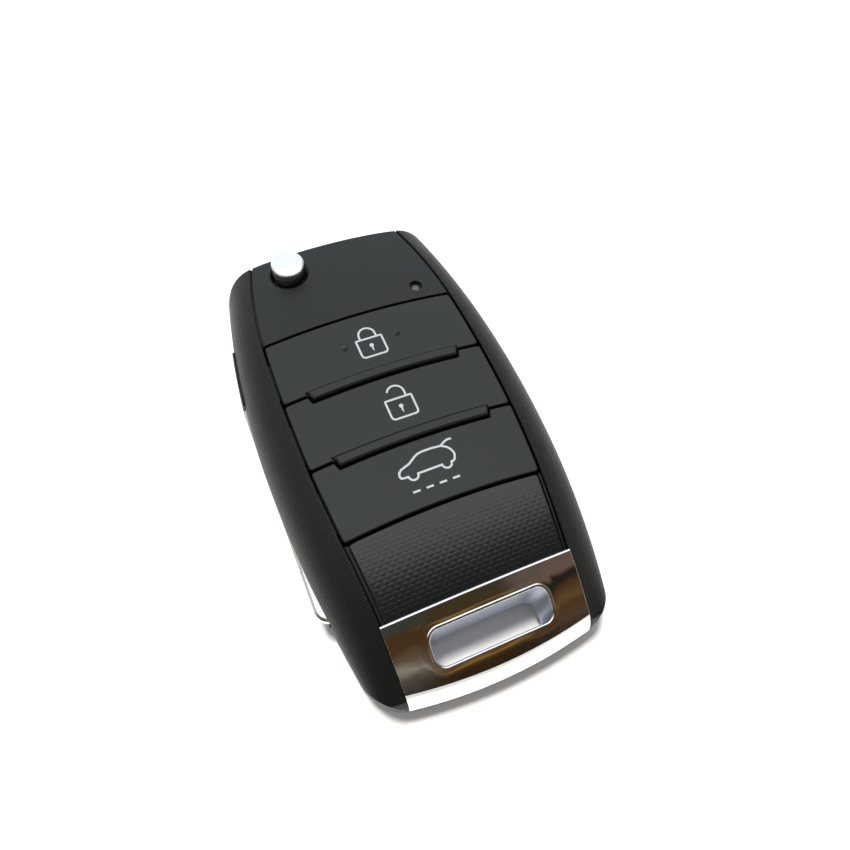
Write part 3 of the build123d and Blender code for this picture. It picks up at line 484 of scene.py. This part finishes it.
# Circuit board: green laminate with copper tracks under the resist, made in a panel and routed
# out. It sits on four posts of the rear shell.
resist_green = (0.02, 0.17, 0.06)
resist_shade = (0.015, 0.13, 0.05)
track_green = (0.05, 0.3, 0.1)
track_scale = 900.0
track_pattern = {"offset": 0.37, "squash": 2.0}
track_depth = 0.03 * mm
board_edge = 0.1 * mm
board_roughness = 0.32
board_laminate, tree, shader = start_finish("board_laminate", resist_green, board_roughness)
where = place_on(tree)
tracks = add_node(
    tree, "TexBrick", track_pattern, Vector=where, Scale=track_scale,
    Color1=(*resist_green, 1), Color2=(*resist_shade, 1), Mortar=(*track_green, 1),
)
raised = emboss(tree, tracks.outputs["Fac"], track_depth, soften_edges(tree, board_edge))
feed(tree, shader, Base_Color=tracks.outputs["Color"], Normal=raised)
dress("circuit_board", board_laminate)


# What the board carries: three switches, a control chip, a lamp and the rubber keypad, and the
# transponder in its frame. All are small plain mouldings, soldered on or laid over the board.
chip_grey = (0.012, 0.012, 0.012)
resin_cream = (0.7, 0.66, 0.5)
rubber_grey = (0.06, 0.06, 0.065)
small_grain = 0.15 * mm
small_depth = 0.01 * mm
small_edge = 0.08 * mm
blot_size = 1.5 * mm
blot_smoother = 0.05
blot_rougher = 0.08


def small_moulding(name, colour, roughness):
    """A plain small moulding with a fine grain."""
    finish, tree, shader = start_finish(name, colour, roughness)
    where = place_on(tree)
    fine = emboss(tree, cloud(tree, where, small_grain), small_depth, soften_edges(tree, small_edge))
    blots = cloud(tree, where, blot_size)
    blotched = between(tree, blots, roughness - blot_smoother, roughness + blot_rougher)
    feed(tree, shader, Normal=fine, Roughness=blotched)
    return finish


chip_black = small_moulding("chip_black", chip_grey, roughness=0.5)
for node in ("control_chip", "transponder_chip"):
    dress(node, chip_black)
for node in ("lock_switch", "unlock_switch", "tailgate_switch"):
    dress(node, chip_black)
lamp_resin = small_moulding("lamp_resin", resin_cream, roughness=0.2)
dress("indicator_led", lamp_resin)
membrane_rubber = small_moulding("membrane_rubber", rubber_grey, roughness=0.65)
dress("keypad_membrane", membrane_rubber)


# Lamp lens: a small rod moulded in clear plastic, seen in its round recess at the upper right.
# It is pushed into the front shell from inside, and its end is slightly frosted.
lens_violet = (0.09, 0.085, 0.1)
lens_plastic = small_moulding("lens_plastic", lens_violet, roughness=0.5)
dress("led_lens", lens_plastic)


# Buttons: three charcoal mouldings that fill the panel between the grips, the upper two with a
# finger lip along their lower edge. The lock button's two feel dots swell out of its face with
# a soft foot. All three rest on the rubber keypad.
dot_x = 4.65 * mm
dot_y = 16.4 * mm
dot_start = 0.3 * mm
dot_end = 0.8 * mm
dot_height = 0.18 * mm
button_plastic = charcoal("button_plastic", panel_charcoal, panel_gloss, panel_satin)
for node in ("unlock_button", "tailgate_button"):
    dress(node, button_plastic)

lock_plastic, tree, shader = start_finish("lock_plastic", panel_charcoal, panel_satin[0], panel_gloss)
where = place_on(tree)
x, y, _ = numbers_of(tree, where)
off_x = calc(tree, "SUBTRACT", calc(tree, "ABSOLUTE", x), dot_x)
off_y = calc(tree, "SUBTRACT", y, dot_y)
swelling = soft_step(tree, distance(tree, off_x, off_y), dot_end, dot_start)
dotted = emboss(tree, swelling, dot_height, spark_surface(tree, where))
feed(tree, shader, Normal=dotted, Roughness=handled(tree, where, panel_satin))
dress("lock_button", lock_plastic)


# Signs on the buttons: printed in pale grey ink, with lines about a third of a millimetre wide.
# Each is laid on its button by dropping its points onto the button's face. The numbers in
# their outlines are millimetres.
sign_width = 0.34 * mm
sign_lift = 0.015 * mm
sign_sink = 0.03 * mm
sign_grey = (0.42, 0.44, 0.46)
sign_gloss = 0.3
sign_satin = (0.48, 0.62)
ink_grain = 0.06 * mm
ink_depth = 0.004 * mm
ink_edge = 0.03 * mm
ink_blot = 0.4 * mm
sharpest_turn = 0.7
shackle_radius = 1.42
hole_radius = 0.36
stem_half = 0.06
stem_foot = 1.2


def arc(centre_x, centre_y, radius, start, end, steps=14):
    """Points of an arc, in millimetres, from one angle to another in degrees."""
    points = []
    for k in range(steps + 1):
        turn = math.radians(start + (end - start) * k / steps)
        points.append((centre_x + radius * math.cos(turn), centre_y + radius * math.sin(turn)))
    return points


def padlock_body(centre, half_width, low, high, low_corner=0.6, high_corner=0.12):
    """Outline of a padlock's body, its lower corners rounder than its upper ones."""
    left, right = centre - half_width, centre + half_width
    return (
        arc(right - low_corner, low + low_corner, low_corner, -90, 0, 6)
        + arc(right - high_corner, high - high_corner, high_corner, 0, 90, 4)
        + arc(left + high_corner, high - high_corner, high_corner, 90, 180, 4)
        + arc(left + low_corner, low + low_corner, low_corner, 180, 270, 6)
    )


def keyhole(x, y):
    """Outline of a keyhole: a round head and a stem that narrows."""
    stem = [(x - stem_half, y - stem_foot), (x + stem_half, y - stem_foot)]
    return arc(x, y, hole_radius, -60, 240, 12) + stem


def print_line(mesh, surface, points, closed=False):
    """Adds a flat printed line that follows points."""
    places = [Vector((px * mm, py * mm)) for px, py in points]
    count = len(places)
    rings = []
    for k, here in enumerate(places):
        before = places[k - 1] if closed or k else here
        after = places[(k + 1) % count] if closed or k < count - 1 else here
        into = (here - before).normalized() if here != before else (after - here).normalized()
        out = (after - here).normalized() if after != here else into
        along = (into + out).normalized()
        side = Vector((-along.y, along.x)) * (sign_width / 2) / max(sharpest_turn, along.dot(into))
        one, other = here + side, here - side
        ring = []
        corners = ((one, sign_lift), (other, sign_lift), (other, -sign_sink), (one, -sign_sink))
        for edge, lift in corners:
            point, _ = drop(surface, edge.x, edge.y)
            ring.append(mesh.verts.new((edge.x, edge.y, point.z + lift)))
        rings.append(ring)
    following = rings[1:] + rings[:1] if closed else rings[1:]
    for one, two in zip(rings, following):
        join_rings(mesh, one, two)
    if not closed:
        mesh.faces.new(rings[0])
        mesh.faces.new(rings[-1])


def print_patch(mesh, surface, points):
    """Adds a flat printed patch inside an outline."""
    top, bottom = [], []
    for ring, lift in ((top, sign_lift), (bottom, -sign_sink)):
        for px, py in points:
            point, _ = drop(surface, px * mm, py * mm)
            ring.append(mesh.verts.new((px * mm, py * mm, point.z + lift)))
        mesh.faces.new(ring)
    join_rings(mesh, top, bottom)


sign_print, tree, shader = start_finish("sign_print", sign_grey, sign_satin[0], sign_gloss)
where = place_on(tree)
ink = emboss(tree, cloud(tree, where, ink_grain), ink_depth, soften_edges(tree, ink_edge))
feed(tree, shader, Normal=ink, Roughness=between(tree, cloud(tree, where, ink_blot), *sign_satin))

lock_face = surface_of("lock_button")
lock_lines = bmesh.new()
lock_body = padlock_body(centre=-0.15, half_width=2.25, low=13.45, high=17.05)
lock_shackle = [(1.25, 17.1)] + arc(-0.17, 17.75, shackle_radius, 0, 180) + [(-1.59, 17.1)]
print_line(lock_lines, lock_face, lock_body, closed=True)
print_line(lock_lines, lock_face, lock_shackle)
print_patch(lock_lines, lock_face, keyhole(-0.13, 15.55))
lock_sign = keep_mesh("lock_sign", lock_lines, sign_print)
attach(lock_sign, "lock")

unlock_face = surface_of("unlock_button")
unlock_lines = bmesh.new()
unlock_body = padlock_body(centre=0.08, half_width=2.25, low=0.95, high=4.5)
unlock_shackle = [(1.48, 4.55)] + arc(0.06, 5.45, shackle_radius, 0, 158)
print_line(unlock_lines, unlock_face, unlock_body, closed=True)
print_line(unlock_lines, unlock_face, unlock_shackle)
print_patch(unlock_lines, unlock_face, keyhole(0.02, 3.0))
unlock_sign = keep_mesh("unlock_sign", unlock_lines, sign_print)
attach(unlock_sign, "unlock")

# The tailgate sign, printed like the padlocks: a car from the side with its rear door up, and a
# row of four short dashes under it.
wheel_radius = 0.8
dash_y = -11.4
dash_half = 0.6
front_wheel = arc(-2.8, -8.8, wheel_radius, 180, 360, 10)
rear_wheel = arc(2.82, -8.78, wheel_radius, 180, 360, 10)
tail = [
    (3.95, -8.76), (4.22, -8.6), (4.38, -8.3), (4.55, -7.95),
    (4.58, -7.45), (4.36, -6.85), (3.9, -6.25),
]
roof = [(3.0, -5.75), (1.4, -5.62), (-0.2, -5.64), (-0.95, -5.78), (-1.6, -6.12)]
nose = [
    (-2.7, -6.85), (-3.5, -7.1), (-4.25, -7.35), (-4.72, -7.75),
    (-4.85, -8.3), (-4.7, -8.7), (-4.35, -8.76),
]
rear_door = [(3.1, -5.75), (3.9, -5.28), (4.5, -5.1), (5.15, -5.15)]
tailgate_face = surface_of("tailgate_button")
tailgate_lines = bmesh.new()
car = front_wheel + rear_wheel + tail + roof + nose
print_line(tailgate_lines, tailgate_face, car, closed=True)
print_line(tailgate_lines, tailgate_face, rear_door)
for dash_x in (-3.3, -1.1, 1.1, 3.3):
    dash = [(dash_x - dash_half, dash_y), (dash_x + dash_half, dash_y)]
    print_line(tailgate_lines, tailgate_face, dash)
tailgate_sign = keep_mesh("tailgate_sign", tailgate_lines, sign_print)
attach(tailgate_sign, "tailgate")


# The studio: a white floor, one high lamp that lights the floor and the matt surfaces, and a
# dim room for the mirror-like plating to show, its near side dark and brown under a bright
# ceiling. The camera sees plain white past the floor.
floor_half = 1.5
floor_white = (0.9, 0.875, 0.85)
floor_gloss = 0.2
floor_satin = (0.75, 0.85)
floor_blot = 40 * mm
floor_mesh = bmesh.new()
bmesh.ops.create_grid(floor_mesh, x_segments=8, y_segments=8, size=floor_half)
floor_finish, tree, shader = start_finish("floor_white", floor_white, floor_satin[0], floor_gloss)
where = place_on(tree)
feed(tree, shader, Roughness=between(tree, cloud(tree, where, floor_blot), *floor_satin))
floor = keep_mesh("floor", floor_mesh, floor_finish)
floor.location.z = cad_box[0][2]

world = bpy.data.worlds.new("studio")
bpy.context.scene.world = world
world.use_nodes = True
room = world.node_tree
toward = add_node(room, "TexCoord").outputs["Generated"]
side, back, up = numbers_of(room, toward)
from_near = calc(room, "ARCTAN2", up, calc(room, "MULTIPLY", back, -1.0))
angle = calc(room, "DIVIDE", from_near, math.pi)


def wall(stops):
    """Colours of the room from the near horizon (0), over the ceiling (0.5), to the far one (1)."""
    banded = add_node(room, "ValToRGB", Fac=angle)
    ramp = banded.color_ramp
    while len(ramp.elements) < len(stops):
        ramp.elements.new(0.5)
    for element, (place, colour) in zip(ramp.elements, stops):
        element.position = place
        element.color = (*colour, 1)
    return banded.outputs[0]


near_floor = [(0.0, (0.9, 0.9, 0.89)), (0.035, (0.8, 0.8, 0.78)), (0.055, (0.03, 0.028, 0.026))]
ceiling = [
    (0.42, (0.09, 0.09, 0.09)), (0.445, (0.7, 0.73, 0.76)), (0.465, (1.6, 1.68, 1.7)),
    (0.57, (1.55, 1.63, 1.66)), (0.63, (1.35, 1.43, 1.47)), (0.68, (1.08, 1.16, 1.22)),
    (1.0, (1.05, 1.1, 1.14)),
]
middle_wall = wall(near_floor + [
    (0.165, (0.014, 0.012, 0.01)), (0.19, (0.04, 0.02, 0.008)), (0.217, (0.1, 0.05, 0.014)),
    (0.222, (0.28, 0.17, 0.06)), (0.227, (0.1, 0.05, 0.014)), (0.265, (0.085, 0.038, 0.01)),
    (0.313, (0.08, 0.037, 0.01)), (0.317, (0.3, 0.19, 0.07)), (0.321, (0.06, 0.035, 0.012)),
    (0.341, (0.05, 0.034, 0.016)), (0.35, (0.042, 0.048, 0.038)), (0.37, (0.055, 0.064, 0.055)),
] + ceiling)
left_wall = wall(near_floor + [
    (0.165, (0.014, 0.013, 0.012)), (0.195, (0.035, 0.03, 0.026)), (0.225, (0.09, 0.075, 0.06)),
    (0.245, (0.26, 0.23, 0.19)), (0.262, (0.11, 0.08, 0.05)), (0.285, (0.07, 0.035, 0.012)),
    (0.318, (0.06, 0.032, 0.012)), (0.33, (0.04, 0.046, 0.036)), (0.37, (0.05, 0.058, 0.048)),
] + ceiling)
right_wall = wall(near_floor + [
    (0.17, (0.02, 0.015, 0.012)), (0.2, (0.08, 0.05, 0.03)), (0.222, (0.08, 0.038, 0.012)),
    (0.245, (0.12, 0.07, 0.03)), (0.27, (0.075, 0.036, 0.012)), (0.284, (0.02, 0.015, 0.012)),
    (0.297, (0.018, 0.015, 0.012)), (0.308, (0.14, 0.09, 0.065)), (0.335, (0.12, 0.085, 0.065)),
    (0.35, (0.07, 0.07, 0.065)),
] + ceiling)
left_low = (0.01, 0.011, 0.009)
left_high = (0.22, 0.24, 0.21)
right_low = (0.36, 0.37, 0.34)
right_high = (0.1, 0.105, 0.1)
left_fade = (-0.5, 0.6)
right_fade = (-0.7, 0.5)
sides_meet = (-0.1, 0.1)
left_to_middle = (-0.02, 0.08)
middle_to_right = (0.3, 0.36)
near_to_side = (0.55, 0.8)
left_side = mix_colours(room, soft_step(room, back, *left_fade), left_low, left_high)
right_side = mix_colours(room, soft_step(room, back, *right_fade), right_low, right_high)
side_wall = mix_colours(room, soft_step(room, side, *sides_meet), left_side, right_side)
near_wall = mix_colours(room, soft_step(room, side, *left_to_middle), left_wall, middle_wall)
near_wall = mix_colours(room, soft_step(room, side, *middle_to_right), near_wall, right_wall)
outward = calc(room, "ABSOLUTE", side)
all_round = mix_colours(room, soft_step(room, outward, *near_to_side), near_wall, side_wall)

fill_strength = 0.43
white_light = (1, 1, 1, 1)
mirrored = add_node(room, "Background", Color=all_round, Strength=1.0)
filling = add_node(room, "Background", Color=white_light, Strength=fill_strength)
backdrop = add_node(room, "Background", Color=white_light, Strength=1.0)
paths = add_node(room, "LightPath").outputs
lighting = add_node(room, "MixShader", Fac=paths["Is Glossy Ray"])
room.links.new(filling.outputs[0], lighting.inputs[1])
room.links.new(mirrored.outputs[0], lighting.inputs[2])
shown = add_node(room, "MixShader", Fac=paths["Is Camera Ray"])
room.links.new(lighting.outputs[0], shown.inputs[1])
room.links.new(backdrop.outputs[0], shown.inputs[2])
output = next(node for node in room.nodes if node.type == "OUTPUT_WORLD")
room.links.new(shown.outputs[0], output.inputs["Surface"])

lamp_from = Vector((-0.12, 0.28, 1.0))
lamp_softness = math.radians(12)
lamp_strength = 4.0
lamp_data = bpy.data.lights.new("high_lamp", "SUN")
lamp_data.angle = lamp_softness
lamp_data.energy = lamp_strength
lamp = bpy.data.objects.new("high_lamp", lamp_data)
lamp.rotation_euler = (-lamp_from).to_track_quat("-Z", "Y").to_euler()
lamp.visible_glossy = False
bpy.context.scene.collection.objects.link(lamp)

camera_place = Vector((-25.684, -44.783, 115.523)) * mm
camera_turn = (26.960, -4.971, -23.189)
camera_sensor = 36.0
camera_lens = 29.966
camera_nearest = 5 * mm
camera_data = bpy.data.cameras.new("camera")
camera_data.sensor_width = camera_sensor
camera_data.lens = camera_lens
camera_data.clip_start = camera_nearest
camera = bpy.data.objects.new("camera", camera_data)
camera.location = camera_place
camera.rotation_euler = Euler([math.radians(turn) for turn in camera_turn])
bpy.context.scene.collection.objects.link(camera)
bpy.context.scene.camera = camera
bpy.context.scene.view_settings.view_transform = "Standard"
